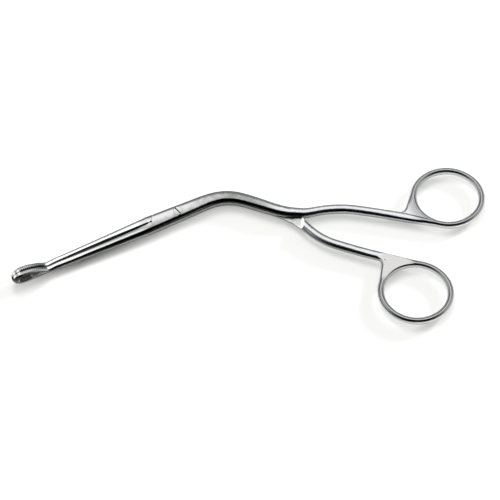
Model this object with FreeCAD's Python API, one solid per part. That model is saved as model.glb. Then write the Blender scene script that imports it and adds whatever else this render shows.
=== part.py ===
"""Adult intubating forceps: two forged halves that cross in a lap and turn on one slotted screw.

The closed jaws lie along X with their nose at -X. The pivot axis is Z, and Z = 0 is the ground
underside of the lap, so the instrument lies flat. The upper half carries the jaw on the -Y side
and the upper ring. The lower half carries the jaw on the +Y side and the lower ring.
"""
import FreeCAD
import Part
import math
import os

Vector = FreeCAD.Vector
Z_AXIS = Vector(0, 0, 1)

# Reach along the closed jaws, from the pivot (mm)
nose_reach = 93.4        # nose of the closed tips
nose_length = 5.9        # from the nose back to the widest place of the tips
tip_length = 18.9        # from the nose back to the neck, where the tips start to swell
root_reach = 17.0        # root of the jaws, where the ground lap begins
shoulder_reach = 15.2    # front shoulder of the lap, on the centre line
bend_reach = 26.5        # middle of the bend behind the pivot, along the centre line
lap_reach = 64.4         # rear step of the lap, an arc about the pivot
arm_taper = 10.0         # behind that step, where the bar thins to the arm

# Centre lines behind the pivot: pairs of length (mm) and turn (degrees, left is positive)
bend_path = [(16.0, 0.0), (21.5, -45.5)]
upper_arm_path = [(17.0, 0.0), (18.7, 32.9), (2.3, 0.0), (21.3, -21.8), (44.2, -5.0)]
lower_arm_path = [(15.6, 0.0), (18.2, -23.8), (5.0, 0.0), (15.0, 23.5), (45.5, 9.3)]

# Widths across the closed instrument (mm)
neck_width = 5.7
root_width = 9.4
pivot_width = 8.6
bend_width = 7.2
lap_end_width = 5.8
arm_width = 4.8

# Heights along the pivot axis (mm)
lap_height = 6.8         # ground flat on both sides
neck_height = 3.6
arm_height = 5.0

# Roundings of the sections (mm)
lap_rounding = 2.7
neck_rounding = 1.4
inner_rounding = 0.4     # along the gap between the jaws, at their root
sharp_rounding = 0.2     # along the gap at the tips
side_flat = 0.1          # half of the flat that is left between two full roundings

# Toothed tips (mm)
tip_width = 5.6          # both tips closed
tip_height = 9.0
tip_rise = 2.4           # of the tips' middle above the jaws' middle
window_setback = 6.8     # middle of the oval windows behind the nose
window_length = 8.2
window_height = 4.6
tooth_pitch = 1.06
tooth_depth = 0.5
tooth_spare = 0.35       # taken off the whole bite where the teeth are cut

# Shape of the tapers, as powers: below 1 is fuller, above 1 is slimmer
nose_fullness = 0.7
swell_fullness = 0.9
root_flare = 1.2

# Finger rings (mm)
ring_inner_length = 32.2
ring_inner_width = 29.6
ring_bar = 3.6           # thickness of the round ring
ring_end_radius = 15.4   # of the centre line's tighter ends
upper_ring_tilt = 13.8   # long axis against the end of the arm, degrees
lower_ring_tilt = 2.9
web_height = 3.4         # web between arm and ring, nearly flush with both
web_reach = 18.4         # from the ring's seat back to the web's corner, along the arm
web_corner = 6.0         # radius in which the strut leaves the arm
strut_width = 3.0        # rounded outer edge of the web
strut_height = 3.5

# Gaps (mm)
jaw_gap = 1.4            # between the bowed jaws, at mid length
root_gap = 0.5           # between the jaws at their root
tooth_gap = 0.4          # between closed tips
shoulder_gap = 0.3       # at the front shoulders
shoulder_slant = 33.0    # of the shoulder against the cross direction, degrees
relief_radius = 0.6      # round relief where the gap between the jaws ends
step_slope = 2.0         # run of the sloped rear step
lap_gap = 0.08           # between the two lap faces
seam_step = 0.04         # by which the ground lap stands out over the jaws' and arms' roots

# Pivot screw (mm)
head_diameter = 4.6
head_height = 1.8
shank_diameter = 3.2
slot_width = 0.7
slot_depth = 0.9
slot_angle = -73.0       # of the driver slot against X, degrees
turning_fit = 0.05       # radial, where the upper half turns
seat_fit = 0.05          # under the head
thread_fit = 0.01        # radial, where the screw is set in the lower half

tip_centre_reach = nose_reach - nose_length
neck_reach = nose_reach - tip_length
mid_height = lap_height / 2
overlap = 1.0            # by which joined solids run into each other
far_out = 40.0           # reach of the cutting solids past the instrument


def along(path, distance, start=(0.0, 0.0, 0.0)):
    """Give x, y and heading (radians) at a distance along a path, straight ahead of its start."""
    x, y, heading = start
    x += min(distance, 0.0) * math.cos(heading)
    y += min(distance, 0.0) * math.sin(heading)
    left = max(distance, 0.0)
    for length, turn in path:
        step = min(left, length)
        bend = math.radians(turn) * step / length
        chord = step if abs(bend) < 1e-9 else 2 * step / bend * math.sin(bend / 2)
        x += chord * math.cos(heading + bend / 2)
        y += chord * math.sin(heading + bend / 2)
        heading += bend
        left -= step
    return x, y, heading


def path_length(path):
    return sum(length for length, turn in path)


def between(stations, distance):
    """Interpolate the sizes at a distance from the stations on both sides of it."""
    for before, after in zip(stations, stations[1:]):
        if distance <= after[0]:
            break
    share = (distance - before[0]) / (after[0] - before[0])
    share = min(max(share, 0.0), 1.0)
    return [a + share * (b - a) for a, b in zip(before[1:], after[1:])]


def section(place, right, left, height, right_rounding, left_rounding, rise=0.0):
    """Make a rounded rectangle across a centre line, with its own rounding on each side."""
    x, y, heading = place
    top = height / 2
    cut = 1 - math.sqrt(0.5)

    def point(across, up):
        return Vector(x - across * math.sin(heading), y + across * math.cos(heading),
                      mid_height + rise + up)

    corners = [(right, -top, right_rounding, 1, 1), (left, -top, left_rounding, -1, 1),
               (left, top, left_rounding, -1, -1), (right, top, right_rounding, 1, -1)]
    arcs = []
    for turn, (across, up, size, inward, upward) in enumerate(corners):
        level = point(across + inward * size, up)
        upright = point(across, up + upward * size)
        middle = point(across + inward * size * cut, up + upward * size * cut)
        ends = (upright, level) if turn % 2 == 0 else (level, upright)
        arcs.append((ends[0], middle, ends[1]))
    edges = []
    for turn, arc in enumerate(arcs):
        edges.append(Part.Arc(*arc).toShape())
        edges.append(Part.LineSegment(arc[2], arcs[(turn + 1) % 4][0]).toShape())
    return Part.Wire(edges)


def jaw(side):
    """One jaw with its swollen tip, from the nose to the root; side is +1 or -1 along Y."""
    bite = (tooth_gap - tooth_depth) / 2 - tooth_spare
    wires = []

    def add(reach, outer, inner, height, outer_rounding, near_rounding, rise):
        place = (-reach, 0.0, 0.0)
        if side > 0:
            wires.append(section(place, inner, outer, height, near_rounding, outer_rounding, rise))
        else:
            wires.append(section(place, -outer, -inner, height, outer_rounding, near_rounding, rise))

    for degrees in (84, 70, 54, 37, 19, 0):
        angle = math.radians(degrees)
        size = math.cos(angle)
        add(tip_centre_reach + nose_length * math.sin(angle),
            bite + (tip_width / 2 - bite) * size ** nose_fullness, bite,
            tip_height * size, neck_rounding * size, sharp_rounding * size, tip_rise)
    count = 5
    for index in range(1, count + 1):
        share = index / count
        swell = math.cos(share * math.pi / 2) ** swell_fullness
        add(tip_centre_reach + share * (neck_reach - tip_centre_reach),
            (neck_width + (tip_width - neck_width) * swell) / 2,
            bite + (1 - swell) * (tooth_gap / 2 - bite),
            neck_height + (tip_height - neck_height) * swell,
            neck_rounding, sharp_rounding, tip_rise * swell)
    count = 11
    for index in range(1, count + 1):
        share = index / count
        grown = share ** root_flare
        bow = 4 * share * (1 - share)
        gap = tooth_gap + share * (root_gap + 2 * seam_step - tooth_gap)
        gap += bow * (jaw_gap - tooth_gap)
        add(neck_reach + share * (root_reach - neck_reach),
            (neck_width + grown * (root_width - 2 * seam_step - neck_width)) / 2, gap / 2,
            neck_height + grown * (lap_height - 2 * seam_step - neck_height),
            neck_rounding + grown * (lap_rounding - neck_rounding),
            sharp_rounding + share * (inner_rounding - sharp_rounding), 0.0)
    return Part.makeLoft(wires, True, False)


def teeth_tool(side):
    """Solid that cuts the meshing teeth, square to the jaw, into one tip."""
    count = int((nose_reach - neck_reach) / tooth_pitch) + 1
    start = -neck_reach - overlap - count * tooth_pitch
    points = []
    for index in range(2 * count + 1):
        wave = tooth_depth / 2 if index % 2 else -tooth_depth / 2
        points.append((start + index * tooth_pitch / 2, side * tooth_gap / 2 + wave))
    points.append((points[-1][0], -side * far_out))
    points.append((start, -side * far_out))
    return prism(points, -far_out, far_out)


def window_tool():
    """Solid through both tips that opens their oval windows."""
    slot = window_height / 2
    straight = window_length / 2 - slot
    centre = window_setback - nose_reach
    points = [Vector(centre - straight, 0, slot), Vector(centre + straight, 0, slot),
              Vector(centre + straight, 0, -slot), Vector(centre - straight, 0, -slot)]
    right = Part.Arc(points[1], Vector(centre + straight + slot, 0, 0), points[2])
    left = Part.Arc(points[3], Vector(centre - straight - slot, 0, 0), points[0])
    outline = Part.Wire([Part.LineSegment(points[0], points[1]).toShape(), right.toShape(),
                         Part.LineSegment(points[2], points[3]).toShape(), left.toShape()])
    outline.translate(Vector(0, -far_out, mid_height + tip_rise))
    return Part.Face(outline).extrude(Vector(0, 2 * far_out, 0))


def prism(points, bottom, top):
    outline = Part.makePolygon([Vector(x, y, bottom) for x, y in points + points[:1]])
    return Part.Face(outline).extrude(Vector(0, 0, top - bottom))


def lap_bar(path):
    """Full-height bar of the lap, flat above and below, from the jaw's root to the arm."""
    stations = [(-root_reach, root_width), (0.0, pivot_width),
                (bend_reach, bend_width), (lap_reach, lap_end_width)]
    sides = []
    count = 10
    for hand in (1, -1):
        points = []
        for index in range(count + 1):
            distance = -root_reach + index * (lap_reach - overlap + root_reach) / count
            x, y, heading = along(path, distance)
            half_width = between(stations, distance)[0] / 2 * hand
            points.append(Vector(x - half_width * math.sin(heading),
                                 y + half_width * math.cos(heading), 0))
        curve = Part.BSplineCurve()
        curve.interpolate(points)
        sides.append(curve)
    ends = [Part.LineSegment(sides[0].EndPoint, sides[1].EndPoint).toShape(),
            Part.LineSegment(sides[1].StartPoint, sides[0].StartPoint).toShape()]
    outline = Part.Wire([sides[0].toShape(), ends[0], sides[1].toShape(), ends[1]])
    bar = Part.Face(outline).extrude(Vector(0, 0, lap_height))
    long_edges = [edge for edge in bar.Edges if edge.Length > root_reach]
    return bar.makeFillet(lap_rounding, long_edges)


def arm(path):
    """Round arm, from the end of the lap to the seat of the ring."""
    start = lap_reach - overlap
    end = path_length(path)
    corner_height = (arm_height + ring_bar) / 2 - side_flat
    stations = [
        (start, lap_end_width - 2 * seam_step, lap_height - 2 * seam_step, lap_rounding),
        (lap_reach + arm_taper, arm_width, arm_height, arm_width / 2 - side_flat),
        (end - 2 * web_reach, arm_width, arm_height, arm_width / 2 - side_flat),
        (end - web_reach, arm_width - side_flat, corner_height, corner_height / 2 - 3 * side_flat),
        (end, ring_bar - side_flat, ring_bar - side_flat, ring_bar / 2 - side_flat),
    ]
    wires = []
    count = 18
    for index in range(count + 1):
        distance = start + index * (end - start) / count
        width, height, rounding = between(stations, distance)
        wires.append(section(along(path, distance), -width / 2, width / 2, height,
                             rounding, rounding))
    return Part.makeLoft(wires, True, False)


def shoulder_points(front, side, reach):
    """Two points of the slanted shoulder line, on the centre line and out on one side."""
    slant = math.tan(math.radians(shoulder_slant))
    return [(front, 0.0), (front + slant * reach, side * reach)]


def other_jaw(side):
    """Solid that clears the other jaw's place, through the full height."""
    inner, outer = shoulder_points(-shoulder_reach, -side, far_out)
    start = -root_reach - overlap
    wall = side * root_gap / 2
    points = [(start, wall), (inner[0], wall), inner, outer, (start, -side * far_out)]
    return prism(points, -far_out, far_out)


def gap_relief():
    """Round hole that ends the gap between the jaws at the shoulders."""
    return Part.makeCylinder(relief_radius, 2 * far_out,
                             Vector(-shoulder_reach - shoulder_gap / 2, 0, -far_out))


def lap_tool(side):
    """Solid that halves the lap: from the slanted shoulder to the sloped step about the pivot."""
    reach = 3 * far_out
    inner, outer = shoulder_points(-shoulder_reach - shoulder_gap, side, far_out)
    points = [inner, outer, (reach, outer[1]), (reach, -side * reach), (inner[0], -side * reach)]
    end_reach = lap_reach + step_slope * far_out / mid_height
    face_height = mid_height - side * lap_gap / 2
    bottom = face_height if side > 0 else face_height - far_out
    cone = Part.makeCone(lap_reach, end_reach, far_out, Vector(0, 0, face_height),
                         Vector(0, 0, side))
    return cone.common(prism(points, bottom, bottom + far_out))


def turned(vector, angle):
    return Vector(vector.x * math.cos(angle) - vector.y * math.sin(angle),
                  vector.x * math.sin(angle) + vector.y * math.cos(angle), vector.z)


def oval_side_radius():
    """Radius of the flatter sides of a ring's centre line, which run on into its ends."""
    across = (ring_inner_width + ring_bar) / 2
    run = (ring_inner_length + ring_bar) / 2 - ring_end_radius
    return (run ** 2 + across ** 2 - ring_end_radius ** 2) / (2 * (across - ring_end_radius))


def oval_arc(normal):
    """Centre and radius of the arc of a ring's centre line that faces a direction (radians)."""
    run = (ring_inner_length + ring_bar) / 2 - ring_end_radius
    drop = oval_side_radius() - (ring_inner_width + ring_bar) / 2
    if abs(math.tan(normal)) < drop / run:
        return Vector(math.copysign(run, math.cos(normal)), 0, 0), ring_end_radius
    return Vector(0, -math.copysign(drop, math.sin(normal)), 0), oval_side_radius()


def oval_point(normal):
    centre, radius = oval_arc(normal)
    return centre + Vector(radius * math.cos(normal), radius * math.sin(normal), 0)


def oval_quarters():
    """Middle direction and half angle (radians) of the four arcs of a ring's centre line."""
    centre, radius = oval_arc(math.pi / 2)
    switch = math.atan2(-centre.y, oval_arc(0.0)[0].x)
    return [(turn * math.pi / 2, math.pi / 2 - switch if turn % 2 else switch)
            for turn in range(4)]


def ring_frame(path, side, tilt):
    """Centre and long-axis angle of a ring that the arm meets along its edge."""
    x, y, heading = along(path, path_length(path))
    angle = heading + math.radians(tilt)
    seat = oval_point(heading + side * math.pi / 2 - angle)
    return Vector(x, y, mid_height) - turned(seat, angle), angle


def place_ring(shape, centre, angle):
    shape.rotate(Vector(0, 0, 0), Z_AXIS, math.degrees(angle))
    shape.translate(centre)
    return shape


def ring(centre, angle):
    """Round finger ring, oval in plan, from four arcs that run on into each other."""
    arcs = []
    for middle, half_angle in oval_quarters():
        arc_centre, radius = oval_arc(middle)
        arc = Part.makeTorus(radius, ring_bar / 2, Vector(0, 0, 0), Z_AXIS, -180, 180,
                             math.degrees(2 * half_angle))
        arc.rotate(Vector(0, 0, 0), Z_AXIS, math.degrees(middle - half_angle))
        arc.translate(arc_centre)
        arcs.append(arc)
    return place_ring(arcs[0].fuse(arcs[1:]), centre, angle)


def ring_hole(centre, angle):
    """Solid inside a ring's centre line, which keeps the web out of the ring."""
    arcs = []
    for middle, half_angle in oval_quarters():
        spots = [oval_point(middle + share * half_angle) for share in (-1, 0, 1)]
        arcs.append(Part.Arc(*spots).toShape())
    hole = Part.Face(Part.Wire(arcs)).extrude(Vector(0, 0, 2 * far_out))
    return place_ring(hole, centre - Vector(0, 0, far_out), angle)


def touch_point(corner, centre, angle, side):
    """Place on a ring's centre line that a straight line from the corner touches."""
    reach = turned(corner - centre, -angle)
    normal = math.atan2(reach.y, reach.x)
    for step in range(4):
        arc_centre, radius = oval_arc(normal)
        offset = reach - arc_centre
        normal = math.atan2(offset.y, offset.x) + side * math.acos(radius / offset.Length)
    return centre + turned(oval_point(normal), angle)


def web(path, side, centre, angle):
    """Flat web between arm and ring, with the rounded strut that edges it."""
    end = path_length(path)
    x, y, heading = along(path, end - web_reach)
    corner = Vector(x, y, mid_height)
    seat = Vector(*along(path, end)[:2], mid_height)
    touch = touch_point(corner, centre, angle, side)
    plate = prism([(corner.x, corner.y), (seat.x, seat.y), (centre.x, centre.y),
                   (touch.x, touch.y)], mid_height - web_height / 2, mid_height + web_height / 2)
    turn = math.atan2(touch.y - y, touch.x - x) - heading
    lead = web_corner * math.tan(abs(turn) / 2)
    strut_path = [(web_corner * abs(turn), math.degrees(turn)),
                  ((touch - corner).Length - lead, 0.0)]
    start = (x - lead * math.cos(heading), y - lead * math.sin(heading), heading)
    wires = []
    count = 8
    for index in range(count + 1):
        place = along(strut_path, path_length(strut_path) * index / count, start)
        wires.append(section(place, -strut_width / 2, strut_width / 2, strut_height,
                             strut_width / 2 - side_flat, strut_width / 2 - side_flat))
    return plate.cut(ring_hole(centre, angle)), Part.makeLoft(wires, True, False)


def half(arm_path, side, ring_tilt):
    """One half, with its jaw, its layer of the lap, its arm and its ring."""
    path = bend_path + arm_path
    lap = lap_bar(path).cut(other_jaw(side)).cut(gap_relief())
    tip = jaw(side).cut(teeth_tool(side)).cut(window_tool())
    centre, angle = ring_frame(path, side, ring_tilt)
    plate, strut = web(path, side, centre, angle)
    body = lap.fuse(arm(path)).cut(lap_tool(side))
    body = body.fuse(tip)
    return body.fuse([ring(centre, angle), plate, strut])


def screw():
    """Slotted screw, flush above and below: head, turned shank and set end."""
    head = Part.makeCylinder(head_diameter / 2, head_height,
                             Vector(0, 0, lap_height - head_height))
    shank = Part.makeCylinder(shank_diameter / 2, lap_height)
    slot = Part.makeBox(2 * head_diameter, slot_width, slot_depth,
                        Vector(-head_diameter, -slot_width / 2, lap_height - slot_depth))
    slot.rotate(Vector(0, 0, 0), Z_AXIS, slot_angle)
    return head.fuse(shank).cut(slot)


def screw_hole_upper():
    bore = Part.makeCylinder(shank_diameter / 2 + turning_fit, lap_height)
    seat = Part.makeCylinder(head_diameter / 2 + turning_fit, far_out,
                             Vector(0, 0, lap_height - head_height - seat_fit))
    return bore.fuse(seat)


def screw_hole_lower():
    return Part.makeCylinder(shank_diameter / 2 + thread_fit, lap_height)


def build():
    upper = half(upper_arm_path, -1, upper_ring_tilt).cut(screw_hole_upper())
    lower = half(lower_arm_path, 1, lower_ring_tilt).cut(screw_hole_lower())
    return {"upper_half": upper, "lower_half": lower, "pivot_screw": screw()}


os.makedirs("parts", exist_ok=True)
for name, shape in build().items():
    shape.exportStep("parts/" + name + ".step")
    print(name, len(shape.Solids), "solid", round(shape.Volume, 1), "mm3", shape.isValid())
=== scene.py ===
# %% [markdown]
# This lesson dresses a pair of angled intubating forceps: two halves of stainless steel that cross
# in a lap and turn on one screw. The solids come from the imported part, so the shapes are there
# already. What is left is steel that looks like steel, and a studio that gives it something to
# reflect. Every length is in metres.

# %% Load the frame
import math
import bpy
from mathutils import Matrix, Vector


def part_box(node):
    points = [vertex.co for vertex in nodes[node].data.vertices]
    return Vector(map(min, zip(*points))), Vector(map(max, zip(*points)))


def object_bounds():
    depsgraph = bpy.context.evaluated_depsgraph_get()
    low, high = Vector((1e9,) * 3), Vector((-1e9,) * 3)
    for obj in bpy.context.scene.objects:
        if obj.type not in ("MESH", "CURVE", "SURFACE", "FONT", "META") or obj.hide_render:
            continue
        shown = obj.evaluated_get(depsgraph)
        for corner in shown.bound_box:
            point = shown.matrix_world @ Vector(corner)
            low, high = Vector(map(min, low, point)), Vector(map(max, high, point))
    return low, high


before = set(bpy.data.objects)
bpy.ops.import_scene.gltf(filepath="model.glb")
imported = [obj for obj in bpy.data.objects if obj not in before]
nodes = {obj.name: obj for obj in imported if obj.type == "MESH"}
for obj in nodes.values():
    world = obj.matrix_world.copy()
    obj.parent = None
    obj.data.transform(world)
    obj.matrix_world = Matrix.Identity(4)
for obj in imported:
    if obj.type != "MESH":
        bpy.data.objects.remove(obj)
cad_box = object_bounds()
from types import SimpleNamespace

import bpy
from mathutils import Vector

MM = 0.001
print("size in mm:", [round((high - low) / MM, 1) for low, high in zip(*cad_box)])

# %% [markdown]
# Materials are networks of nodes. Two helpers keep them short. One turns a colour as a paint
# program writes it (hex, sRGB) into the linear values that the renderer works with. The other adds
# any node, sets it, fills its inputs and gives back an output, so that a network reads from top to
# bottom like a sum.

# %% Colour and node helpers
def linear(hex_colour):
    """Linear red, green, blue and alpha of a colour that is written in hex, as sRGB."""
    values = [int(hex_colour[start:start + 2], 16) / 255 for start in (1, 3, 5)]
    return tuple(v / 12.92 if v <= 0.04045 else ((v + 0.055) / 1.055) ** 2.4 for v in values) + (1,)


def add(tree, kind, inputs=(), output=0, **settings):
    """Add a node and give back one of its outputs, or all of them for None.

    Inputs are given in their order or by name. Each is a plain value, a hex colour, or the output
    of another node.
    """
    node = tree.nodes.new("ShaderNode" + kind)
    for name, value in settings.items():
        setattr(node, name, value)
    for name, value in inputs.items() if isinstance(inputs, dict) else enumerate(inputs):
        if isinstance(value, bpy.types.NodeSocket):
            tree.links.new(value, node.inputs[name])
        elif isinstance(value, str):
            node.inputs[name].default_value = linear(value)
        else:
            node.inputs[name].default_value = value
    return node.outputs if output is None else node.outputs[output]


def new_material(name):
    material = bpy.data.materials.new(name)
    material.use_nodes = True
    material.node_tree.nodes.clear()
    return material, material.node_tree


print("middle grey #808080 is", round(linear("#808080")[0], 3), "in linear light")

# %% [markdown]
# The halves are finished in three ways: polished on jaws and arms, ground flat and satin on the
# lap, and a little rougher on the finger rings, which are painted a darker grey as painted shade.
# Painted light and shade also lie on parts of the jaws, the tips, the lap's step and the web. All
# of it sits on one solid, so one material holds it, and masks say where each finish lies. A mask is
# a number from 0 to 1 that is made from the place on the object. Splitting the faces would be the
# other way, but the solid's mesh is left as it is, and a mask can have a soft edge. The finishes
# are then laid on like coats of paint.

# %% Masks and coats
MIX_SOCKETS = {"RGBA": (6, 7, 2), "FLOAT": (2, 3, 0)}   # under, over and result


def share(tree, *limits):
    """1 where a point is within all the limits and 0 where it is outside one, with soft edges.

    A limit is another mask, a plain number that weakens the share, or a value with where it starts
    to count and where it counts in full. Two more numbers replace the results 0 and 1 there.
    """
    result = 1.0
    for limit in limits:
        if isinstance(limit, tuple):
            limit = add(tree, "MapRange", limit, interpolation_type="SMOOTHSTEP")
        result = add(tree, "Math", (result, limit), operation="MULTIPLY")
    return result


def band(tree, value, middle, half_width, edge):
    """1 within a half width of the middle and 0 outside, with a soft edge."""
    away = add(tree, "Math", (value, middle), operation="SUBTRACT")
    away = add(tree, "Math", (away,), operation="ABSOLUTE")
    return share(tree, (away, half_width + edge, half_width))


def coated(tree, under, coats, data_type="RGBA"):
    """Lay coats over each other. A coat is a mask and what it brings, a colour or a number."""
    under_socket, over_socket, result = MIX_SOCKETS[data_type]
    for mask, over in coats:
        under = add(tree, "Mix", {0: mask, under_socket: under, over_socket: over}, result,
                    data_type=data_type)
    return under


print("a coat brings a colour or a number:", " or ".join(MIX_SOCKETS))

# %% [markdown]
# Every mask starts from a few facts about a point: where it is, how level the surface lies there,
# and how far it is from the pivot's axis, which is the upright line through the origin. The screw
# runs through the whole lap, so its box gives the lap's bottom and top.

# %% Facts about a point
screw_low, screw_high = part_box("pivot_screw")
lap_bottom, lap_top = screw_low[2], screw_high[2]
lap_middle = (lap_bottom + lap_top) / 2
half_lap = (lap_top - lap_bottom) / 2
WITHOUT_HEIGHT = (1, 1, 0)


def facts(tree):
    place = add(tree, "TexCoord", output="Object")
    normal = add(tree, "NewGeometry", output="Normal")
    x, y, z = add(tree, "SeparateXYZ", (place,), None)
    upward = add(tree, "SeparateXYZ", (normal,), "Z")
    level = add(tree, "Math", (upward,), operation="ABSOLUTE")
    flat_place = add(tree, "VectorMath", (place, WITHOUT_HEIGHT), operation="MULTIPLY")
    reach = add(tree, "VectorMath", (flat_place,), "Value", operation="LENGTH")
    return SimpleNamespace(place=place, normal=normal, x=x, y=y, z=z, upward=upward, level=level,
                           reach=reach)


print("lap from", round(lap_bottom / MM, 2), "to", round(lap_top / MM, 2), "mm high")

# %% [markdown]
# A satin face has the grain of the grinding and spots that use has rubbed bright, and the polish
# has slow waves left by the hand on the wheel. An image of scratches would do, but noise of a real
# size needs no file and has no seam.

# %% Grain, wear and waves
GRAIN = (0.35 * MM, 3)                 # size and detail; drawn coarser than real grain, to show
WEAR = (3.5 * MM, 2)
POLISH_WAVE = (6 * MM, 2)
FINE_PARTS = 0.6                       # how strongly the finer layers of the noise show


def unevenness(tree, at):
    """The patterns of grain, wear and polishing waves."""
    patterns = []
    for size, detail in (GRAIN, WEAR, POLISH_WAVE):
        patterns.append(add(tree, "TexNoise", {"Vector": at.place, "Scale": 1 / size,
                                               "Detail": detail, "Roughness": FINE_PARTS}))
    return patterns


print("grain of", round(GRAIN[0] / MM, 2), "mm, wear of", round(WEAR[0] / MM, 2), "mm")

# %% [markdown]
# The lap is ground flat: on its outer faces, and on the two faces that slide on each other and show
# when the forceps open. Two small things give it away as a joint. Its rear step is a sloped wall
# that catches the light, and the screw's head, flush with the lap, leaves a fine line round itself.
# The step's wall is told from the bars beside it by its normal, which lies along the line to the
# pivot.

# %% Where the lap is ground
LEVEL_FACE = (0.93, 0.98)              # 1 is quite level
OUTER_FACE = (half_lap - 0.25 * MM, half_lap - 0.12 * MM)   # above or below the lap's middle
SATIN_END = (50 * MM, 37 * MM)         # the polished arm goes over into the satin
MATING_FACE = (0.2 * MM, 0.1 * MM)
STEP_REACH = 64.4 * MM                 # the rear step is an arc about the pivot
STEP_EDGE = 1 * MM
STEP_WALL = (1.2 * MM, 0.2 * MM)       # half its width, and soft edge
STEP_SLOPE = (0.5, 0.12, 0.05)         # how level it lies, with half width and soft edge
TOWARDS_PIVOT = (0.55, 0.7)            # share of its normal along the line to the pivot
HEAD_LINE_RADIUS = 2.4 * MM            # just outside the screw's head
HEAD_LINE = (0.08 * MM, 0.06 * MM)


def lap_masks(tree, at):
    height = add(tree, "Math", (at.z, lap_middle), operation="SUBTRACT")
    height = add(tree, "Math", (height,), operation="ABSOLUTE")
    outer = share(tree, (height, *OUTER_FACE), (at.x, *SATIN_END))
    mating = share(tree, (height, *MATING_FACE), (at.reach, STEP_REACH + STEP_EDGE, STEP_REACH))
    either_face = add(tree, "Math", (outer, mating), operation="MAXIMUM")
    ground = share(tree, (at.level, *LEVEL_FACE), either_face)
    along = add(tree, "VectorMath", (at.place, at.normal), "Value", operation="DOT_PRODUCT")
    along = add(tree, "Math", (along, at.reach), operation="DIVIDE")
    along = add(tree, "Math", (along,), operation="ABSOLUTE")
    step = share(tree, band(tree, at.reach, STEP_REACH + STEP_EDGE, *STEP_WALL),
                 band(tree, at.level, *STEP_SLOPE), (along, *TOWARDS_PIVOT))
    head_line = share(tree, ground, band(tree, at.reach, HEAD_LINE_RADIUS, *HEAD_LINE))
    return SimpleNamespace(ground=ground, mating=mating, step=step, head_line=head_line)


print("the rear step is", round(STEP_REACH / MM, 1), "mm from the pivot")

# %% [markdown]
# The satin isn't one grey. Painted shade makes it darker from the pivot towards the rings, and
# towards the edge on the camera's side, where less light falls on it. Grain and wear swing it about
# that shade. The shade picks a colour between a light and a dark grey, which is easier to match
# than mixed lights.

# %% Shade of the satin
PAINTED_SHADE_ALONG = (-12 * MM, 34 * MM, 0, 0.75)     # from here to there, and the shade at each
PAINTED_SHADE_ACROSS = (2.0 * MM, -4.3 * MM, 0, 0.8)
MATING_SHADE = 0.4
GRAIN_STRENGTH = 0.5
WEAR_STRENGTH = 0.9


def satin(tree, at, mating, grain, wear, light, dark):
    # painted shade: darker along the lap towards the rings and towards its near edge
    shade = add(tree, "Math", (share(tree, (at.x, *PAINTED_SHADE_ALONG)),
                               share(tree, (at.y, *PAINTED_SHADE_ACROSS))), operation="MAXIMUM")
    shade = coated(tree, shade, [(mating, MATING_SHADE)], "FLOAT")
    for pattern, strength in ((grain, GRAIN_STRENGTH), (wear, WEAR_STRENGTH)):
        swing = add(tree, "Math", (pattern, strength, -strength / 2), operation="MULTIPLY_ADD")
        shade = add(tree, "Math", (shade, swing), operation="ADD")
    return coated(tree, light, [(share(tree, (shade, 0, 1)), dark)])


print("shade runs from", PAINTED_SHADE_ALONG[2], "to", PAINTED_SHADE_ALONG[3], "along the lap")

# %% [markdown]
# The jaws are painted a lighter grey than the rest of the polish, a painted highlight where the
# light falls strongest. Three faces of theirs are painted darker: the walls of the gap between
# them, as painted shade, and the near jaw's slope down to the gap and its outer flank close to the
# lap, as a painted reflection of the dark room. The gap's walls are also a little rougher. The
# slope's width grows with the jaw, so a place on it is measured as a share of that width.

# %% Where the jaws are painted lighter and darker
JAW_ROOT = -15.5 * MM                  # end of the gap between the jaws
BRIGHT_JAWS = (JAW_ROOT, JAW_ROOT - 8 * MM)
GAP_WALL = (0.95 * MM, 0.1 * MM)       # half the gap with its walls, and soft edge
UPRIGHT = (0.8, 0.5)
IN_GAP = (JAW_ROOT + 1 * MM, JAW_ROOT)
SLOPE_WIDTH = (-75 * MM, -20 * MM, 1.5 * MM, 3.4 * MM)   # from here to there, and the widths
INNER_SLOPE = (0.3, 1.0, 0.85, 0)      # shares of the width, and the strength at each
SLOPE_START = (0, 0.05)
SLOPE_ALONG = (JAW_ROOT, JAW_ROOT - 4 * MM)
OUTER_FLANK = (0.72, 0.95)
FLANK_ALONG = (-24 * MM, 8 * MM, 26 * MM)   # middle, half width and soft edge
FLANK_UPWARD = (0.1, 0.5, 0, 0.8)      # the underside is left out


def jaw_masks(tree, at):
    bright = share(tree, (at.x, *BRIGHT_JAWS))
    shaded_gap_wall = share(tree, band(tree, at.y, 0, *GAP_WALL), (at.level, *UPRIGHT), (at.x, *IN_GAP))
    width = add(tree, "MapRange", (at.x, *SLOPE_WIDTH), interpolation_type="SMOOTHSTEP")
    near_side = add(tree, "Math", (at.y, -1), operation="MULTIPLY")
    depth = add(tree, "Math", (near_side, width), operation="DIVIDE")
    slope = share(tree, (depth, *INNER_SLOPE), (depth, *SLOPE_START), (at.x, *SLOPE_ALONG))
    shaded_flank = share(tree, (depth, *OUTER_FLANK), band(tree, at.x, *FLANK_ALONG),
                  (at.upward, *FLANK_UPWARD))
    return SimpleNamespace(bright=bright, shaded_gap_wall=shaded_gap_wall, slope=slope, shaded_flank=shaded_flank)


print("the gap ends", round(-JAW_ROOT / MM, 1), "mm in front of the pivot")

# %% [markdown]
# The tips are swollen, toothed and windowed. The teeth are cut in the solid, but in the picture a
# tooth is about two pixels wide, so the shade in the grooves and along the zigzag line where the
# two rows bite is also painted dark, with the pitch of the cut teeth. The low part of the tips'
# sides carries painted shade, and the nose a painted highlight.

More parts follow.
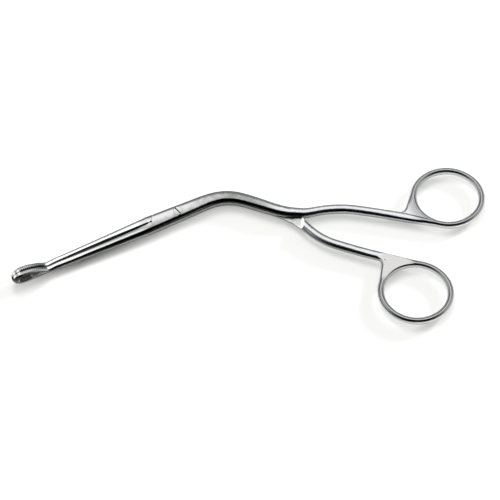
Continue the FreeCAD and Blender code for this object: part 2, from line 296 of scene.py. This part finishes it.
# %% Where the tips are toothed
TOOTH_PITCH = 1.06 * MM
TOOTHED = (-88.0 * MM, -75.5 * MM)     # the part of the tips that carries teeth
TOOTHED_EDGE = 1 * MM
FACING_UP = (0.3, 0.6)
BITE_LINE = (0.62 * MM, 0.2 * MM)      # half width and soft edge
GROOVE = (0.2 * MM, 0.35 * MM)         # from the middle of a tooth
GROOVE_LENGTH = (1.6 * MM, 0.2 * MM)   # to each side of the bite, and soft edge
SIDE_ALONG = (-74 * MM, 5 * MM, 4 * MM)
SIDE_HEIGHT = (4.8 * MM, 2.6 * MM)
NOSE = (-88.5 * MM, -90.5 * MM)
NOSE_TOP = (0.5, 0.8)
FRONT_SIDES = (-78 * MM, -81 * MM)


def tip_masks(tree, at):
    start, end = TOOTHED
    along = band(tree, at.x, (start + end) / 2, (end - start) / 2, TOOTHED_EDGE)
    toothed = share(tree, along, (at.upward, *FACING_UP))
    ridge = add(tree, "Math", (at.x, TOOTH_PITCH / 2), operation="PINGPONG")
    zigzag = add(tree, "Math", (ridge, TOOTH_PITCH / 4), operation="SUBTRACT")
    from_bite = add(tree, "Math", (at.y, zigzag), operation="SUBTRACT")
    shaded_bite = share(tree, toothed, band(tree, from_bite, 0, *BITE_LINE))
    shaded_grooves = share(tree, toothed, (ridge, *GROOVE), band(tree, at.y, 0, *GROOVE_LENGTH))
    sides = share(tree, band(tree, at.x, *SIDE_ALONG), (at.z, *SIDE_HEIGHT))
    nose_highlight = share(tree, (at.x, *NOSE), (at.upward, *NOSE_TOP))
    front_sides = share(tree, (at.x, *FRONT_SIDES), (at.upward, *reversed(FACING_UP)))
    return SimpleNamespace(toothed=toothed, shaded_bite=shaded_bite, shaded_grooves=shaded_grooves, sides=sides, nose_highlight=nose_highlight,
                           front_sides=front_sides)


print("about", round((TOOTHED[1] - TOOTHED[0]) / TOOTH_PITCH), "teeth to a row")

# %% [markdown]
# The finger rings are painted an even grey, darker than the polish, as painted shade, and their
# walls are painted lighter than their tops, a painted sheen. A ring is found by the distance from
# its centre. Where the lower arm runs over the flat web beside its ring, the web is painted
# lighter, a painted reflection.

# %% Where the rings are painted darker
RING_CENTRES = [(131.3 * MM, -52.1 * MM, lap_top / 2), (90.0 * MM, -94.9 * MM, lap_top / 2)]
RING_REACH = (24 * MM, 19 * MM)        # the rings' painted shade fades out on the arm
RING_WALLS = (0.85, 0.4)               # from level top to upright wall
WEB_MIDDLE = (87.0 * MM, -77.0 * MM, 2 * MM)
WEB_REACH = (11 * MM, 8 * MM)
WEB_LEVEL = (0.8, 0.97)
ARM_ON_WEB = (lap_top / 2 + 1.65 * MM, lap_top / 2 + 1.8 * MM)   # height of the arm over it


def near(tree, at, centre, reach):
    """1 near a point, fading out from the second to the first distance in the reach."""
    away = add(tree, "VectorMath", (at.place, centre), "Value", operation="DISTANCE")
    return share(tree, (away, *reach))


def ring_masks(tree, at):
    rings = [near(tree, at, centre, RING_REACH) for centre in RING_CENTRES]
    shaded = add(tree, "Math", rings, operation="MAXIMUM")
    near_web = near(tree, at, WEB_MIDDLE, WEB_REACH)
    return SimpleNamespace(shaded=shaded, lit_walls=share(tree, (at.level, *RING_WALLS)),
                           lit_web=share(tree, near_web, (at.upward, *WEB_LEVEL)),
                           arm_on_web=share(tree, near_web, (at.z, *ARM_ON_WEB)))


print(len(RING_CENTRES), "rings, blasted up to", round(RING_REACH[1] / MM), "mm from their centres")

# %% [markdown]
# A polished bar is read by the line of light that it draws, and the line's width tells how crowned
# the bar is. Forged bars aren't quite round: a flatter top gives a wider line, a sharper one a
# thinner line. That crown is a fraction of a millimetre, too little to model, so the shading alone
# carries it: the upward part of the normal is stretched, and more than 1 stands for a flatter top.

# %% Crown of the bars
CROWNED_JAWS = (JAW_ROOT, -22 * MM)
ARM_START = (48 * MM, 62 * MM)
JAW_CROWN = 1.35
ARM_CROWN = 1.25
RING_CROWN = 0.6
STEP_CROWN = 9.0                       # the step's wall then mirrors what a level face does
WEB_CROWN = 5.0


def crowned(tree, at, lap, rings, arms):
    """Surface direction of the bars with their crown."""
    jaws = share(tree, (at.x, *CROWNED_JAWS))
    crown = coated(tree, 1, [(jaws, JAW_CROWN), (arms, ARM_CROWN), (rings.shaded, RING_CROWN),
                             (lap.step, STEP_CROWN), (rings.arm_on_web, WEB_CROWN)], "FLOAT")
    faces_up = add(tree, "Math", (at.upward, 0), operation="GREATER_THAN")
    crown = coated(tree, 1, [(faces_up, crown)], "FLOAT")
    x, y, z = add(tree, "SeparateXYZ", (at.normal,), None)
    stretched = add(tree, "CombineXYZ", (x, y, share(tree, z, crown)))
    return add(tree, "VectorMath", (stretched,), operation="NORMALIZE")


print("crowns from", RING_CROWN, "on the rings to", JAW_CROWN, "on the jaws")

# %% [markdown]
# Now the finishes, with the painted light and shade, are laid over each other, from the widest to
# the finest. A coat is a mask, a colour and a strength. A metal's colour is what it mirrors face
# on, so the polish is light, the satin is grey, and painted shade and painted highlights make
# places darker or lighter. Roughness is laid on the same way: low on the polish, higher on the
# satin and the rings.

# %% Coats of colour and roughness
WAVES = (0.3, 0.7, 0.09, 0.15)         # of the pattern, and the polish's roughness at each


def steel_colour(tree, satin_colour, polish, shaded, lap, jaws, tips, rings):
    satin_faces = add(tree, "Math", (lap.ground, lap.step), operation="MAXIMUM")
    # painted sheen: the rings' walls are painted lighter than their tops
    ring_colour = coated(tree, shaded, [(rings.lit_walls, "#cfd0d1")])
    coats = [
        # painted highlight: the jaws are lighter than the rest of the polish
        (jaws.bright, "#d2d3d4", 1),
        # painted reflection of the dark room, darkening the near jaw's slope and outer flank
        (jaws.slope, "#505051", 1),
        (jaws.shaded_flank, "#5e5d60", 1),
        (satin_faces, satin_colour, 1),
        # painted shade: the rings are a darker grey than the polish
        (rings.shaded, ring_colour, 1),
        # painted reflection: the level web beside the lower ring is painted lighter
        (rings.lit_web, "#a9a7a7", 1),
        # painted highlight on the rear step's sloped wall
        (lap.step, "#ececec", 1),
        (tips.toothed, "#a2a3a3", 0.7),
        # painted shade in the grooves between the teeth
        (tips.shaded_grooves, "#454546", 0.6),
        # painted shade on the low part of the tips' sides
        (tips.sides, "#343331", 0.65),
        # painted highlight on the nose
        (tips.nose_highlight, "#f2f2f4", 1),
        # painted shadow along the line where the two rows of teeth bite
        (tips.shaded_bite, "#0c0c0c", 0.95),
        # painted shade on the walls of the gap between the jaws
        (jaws.shaded_gap_wall, "#8a8a8b", 0.9),
        (lap.head_line, "#2a2a2b", 0.35),
    ]
    return coated(tree, polish, [(share(tree, mask, strength), colour)
                                 for mask, colour, strength in coats])


def steel_roughness(tree, wave, arms, lap, jaws, tips, rings):
    polish = share(tree, (wave, *WAVES))
    coats = [(lap.ground, 0.34), (lap.step, 0.5), (arms, 0.2), (rings.shaded, 0.21),
             (tips.toothed, 0.3), (tips.front_sides, 0.45), (jaws.shaded_gap_wall, 0.35)]
    return coated(tree, polish, coats, "FLOAT")


print("polish has a roughness from", WAVES[2], "to", WAVES[3])

# %% [markdown]
# The steel itself is one metallic shader with its usual IOR. The grain also goes into a shallow
# relief on the ground faces and the rings, which breaks their highlights up. The halves have a
# bright polish and a satin that swings between two greys. The screw is turned, which leaves it a
# trace darker in the polish and more even in the satin, so its head is set off a little from the
# lap.

# %% Steel of the halves and the screw
GRAIN_DEPTH = 0.02 * MM
RELIEF_STRENGTH = 0.25


def steel(name, polish, satin_dark, satin_light, shaded):
    material, tree = new_material(name)
    at = facts(tree)
    grain, wear, wave = unevenness(tree, at)
    lap = lap_masks(tree, at)
    rings = ring_masks(tree, at)
    parts = {"lap": lap, "jaws": jaw_masks(tree, at), "tips": tip_masks(tree, at), "rings": rings}
    arms = share(tree, (at.x, *ARM_START))
    satin_colour = satin(tree, at, lap.mating, grain, wear, satin_light, satin_dark)
    grained = add(tree, "Math", (lap.ground, rings.shaded), operation="MAXIMUM")
    bump = add(tree, "Bump", {"Height": share(tree, grain, grained), "Distance": GRAIN_DEPTH,
                              "Normal": crowned(tree, at, lap, rings, arms),
                              "Strength": RELIEF_STRENGTH})
    shader = add(tree, "BsdfPrincipled", {
        "Metallic": 1,
        "Base Color": steel_colour(tree, satin_colour, polish, shaded, **parts),
        "Roughness": steel_roughness(tree, wave, arms, **parts),
        "Normal": bump})
    add(tree, "OutputMaterial", {"Surface": shader}, None)
    return material


half_steel = steel("polished and satin stainless steel", "#b4b5b7", "#787978", "#c0c0c0", "#929395")
screw_steel = steel("turned stainless steel", "#a8a9ab", "#808182", "#bcbcbd", "#929395")
for name, material in (("upper_half", half_steel), ("lower_half", half_steel),
                       ("pivot_screw", screw_steel)):
    for slot in nodes[name].material_slots:
        slot.material = material
    print(name, "is", material.name, "with", len(material.node_tree.nodes), "nodes")

# %% [markdown]
# The forceps lie on white paper. The camera sees a share of it as pure white, and mirroring steel
# a little of that share, which keeps the background white and the shadow pale. The share grows
# towards the rings, where the shadow is faintest. Steel mirrors the paper close beside it; further
# off the paper turns into a dark table, as it does round a small sheet. Paper that is pure white
# all over would be simpler, but it would lose the shadow.

# %% Paper under the forceps
FLOOR_SIZE = 20.0
WHITE_ALONG = (-60 * MM, 15 * MM, 0.03, 0.45)   # from the jaws to the rings, and the share at each
WHITE_AT_NOSE = (-95 * MM, -50 * MM, 0.5, 0)
WHITE_MIRRORED = 0.1                   # how much of that share the steel mirrors
SHEET_SEEN = (3.5 * MM, 12 * MM)       # how far off the steel still mirrors the paper
TABLE_LIGHTER = (48 * MM, 64 * MM)
SEEN_BY_RINGS = (58 * MM, 76 * MM, 1, 0.3)      # the steel mirrors paper from further off there
SEEN_BY_JAWS = (-30 * MM, 10 * MM, 1.3, 1)      # and from less far here

paper, tree = new_material("white studio paper")
path = add(tree, "LightPath", output=None)
across = add(tree, "SeparateXYZ", (add(tree, "TexCoord", output="Object"),), "X")
white_share = add(tree, "Math", (share(tree, (across, *WHITE_ALONG)),
                                 share(tree, (across, *WHITE_AT_NOSE))), operation="MAXIMUM")
mirrored = add(tree, "Math", (path["Is Glossy Ray"], path["Is Transmission Ray"]),
               operation="MAXIMUM")
seen = add(tree, "Math", (path["Is Camera Ray"], share(tree, mirrored, WHITE_MIRRORED)),
           operation="MAXIMUM")
lit = add(tree, "BsdfDiffuse", {"Color": "#f3f3f0"})
white = add(tree, "Emission", {"Color": "#fffffd", "Strength": 1})
whitened = add(tree, "MixShader", (share(tree, seen, white_share), lit, white))
distance = share(tree, path["Ray Length"], (across, *SEEN_BY_RINGS), (across, *SEEN_BY_JAWS))
far_off = share(tree, path["Is Glossy Ray"], (distance, *SHEET_SEEN))
table_colour = coated(tree, "#3c3c3a", [(share(tree, (across, *TABLE_LIGHTER)), "#a0a09c")])
table = add(tree, "BsdfDiffuse", {"Color": table_colour})
sheet = add(tree, "MixShader", (far_off, whitened, table))
add(tree, "OutputMaterial", {"Surface": sheet}, None)

bpy.ops.mesh.primitive_plane_add(size=FLOOR_SIZE, location=(0, 0, cad_box[0][2]))
floor = bpy.context.object
floor.name = "paper floor"
floor.data.materials.append(paper)
print("paper lies", round(cad_box[0][2] / MM, 2), "mm high")

# %% [markdown]
# The studio is painted into the world as a few soft patches of light. A patch is a direction and
# a width. One broad patch stands high behind the forceps: the flat lap mirrors it, and the round
# arms draw it into a white line. Around the camera the studio is dark, which gives the black line
# beside it. Large lamps would do the same, but a mirrored shape is easier to place as a patch. The
# camera itself sees plain white.

# %% Studio light
VIEW_AZIMUTH = -25.6                   # degrees
ROOM_LIGHT = 0.5
PATCHES = [
    # azimuth, elevation, inner and outer half angle in degrees, strength
    (0, 68, 22, 34, 1.9),
    (143, 60, 10, 22, 1.9),
    (88, 18, 14, 34, 1.1),
    (-88, 18, 14, 34, 1.0),
]
DARK_ROOM = (180, 36, 38, 56)          # the unlit room behind the camera


def direction(azimuth, elevation):
    """Direction from the forceps; azimuth 0 is straight behind them as the camera sees it."""
    turn = math.radians(VIEW_AZIMUTH + azimuth)
    rise = math.radians(elevation)
    return (-math.sin(turn) * math.cos(rise), math.cos(turn) * math.cos(rise), math.sin(rise))


def patch(tree, azimuth, elevation, inner, outer, outside, inside):
    """A number that is one value inside a patch of the world and another value outside."""
    heading = add(tree, "TexCoord", output="Generated")
    aligned = add(tree, "VectorMath", (heading, direction(azimuth, elevation)), "Value",
                  operation="DOT_PRODUCT")
    edges = [math.cos(math.radians(angle)) for angle in (outer, inner)]
    return share(tree, (aligned, *edges, outside, inside))


world = bpy.data.worlds.new("studio")
bpy.context.scene.world = world
world.use_nodes = True
tree = world.node_tree
tree.nodes.clear()
light = ROOM_LIGHT
for *place_and_width, strength in PATCHES:
    lit_patch = patch(tree, *place_and_width, 0, strength)
    light = add(tree, "Math", (light, lit_patch), operation="ADD")
light = share(tree, light, patch(tree, *DARK_ROOM, 1, 0))
studio = add(tree, "Background", {"Strength": light})
backdrop = add(tree, "Background", {"Color": "#ffffff"})
seen = add(tree, "LightPath", output="Is Camera Ray")
sky = add(tree, "MixShader", (seen, studio, backdrop))
add(tree, "OutputWorld", {"Surface": sky}, None)
print(len(PATCHES), "patches of light in the world")

# %% [markdown]
# Two lamps cast the shadows: a soft box high behind the forceps for the soft ones, and a small low
# window at the right for the long ones. The steel doesn't mirror them, because their discs would
# stand in it as hard spots.

# %% Lamps for the shadows
AIM = Vector((25.3, -34.0, 0)) * MM    # middle of the picture on the table
LAMP_DISTANCE = 1.2


def lamp(name, azimuth, elevation, size, power):
    """A round lamp that lights and casts shadows, but isn't seen or mirrored."""
    data = bpy.data.lights.new(name, "AREA")
    data.shape = "DISK"
    data.size = size
    data.energy = power
    lamp_object = bpy.data.objects.new(name, data)
    bpy.context.collection.objects.link(lamp_object)
    lamp_object.location = AIM + Vector(direction(azimuth, elevation)) * LAMP_DISTANCE
    lamp_object.rotation_euler = (AIM - lamp_object.location).to_track_quat("-Z", "Y").to_euler()
    lamp_object.visible_glossy = False
    lamp_object.visible_camera = False
    print(name, "shines", power, "W from", [round(c, 2) for c in lamp_object.location])


lamp("soft box", azimuth=14, elevation=52, size=0.55, power=6.5)
lamp("low window", azimuth=-52, elevation=16, size=0.25, power=20.0)

# %% [markdown]
# The camera stands where the photograph was taken from: 60 degrees above the table and a good metre
# away, with a long lens, which keeps the near ring about as large as the far one.

# %% Camera
VIEW_ELEVATION = 60
CAMERA_DISTANCE = 1.14
FOCAL_LENGTH = 158.4                   # millimetres, as is the sensor's width
SENSOR_WIDTH = 36
lens = bpy.data.cameras.new("camera")
lens.lens = FOCAL_LENGTH
lens.sensor_width = SENSOR_WIDTH
camera = bpy.data.objects.new("camera", lens)
bpy.context.collection.objects.link(camera)
camera.location = AIM + Vector(direction(180, VIEW_ELEVATION)) * CAMERA_DISTANCE
camera.rotation_euler = (AIM - camera.location).to_track_quat("-Z", "Y").to_euler()
scene = bpy.context.scene
scene.camera = camera
scene.view_settings.view_transform = "Standard"
print("camera at", [round(c, 3) for c in camera.location])
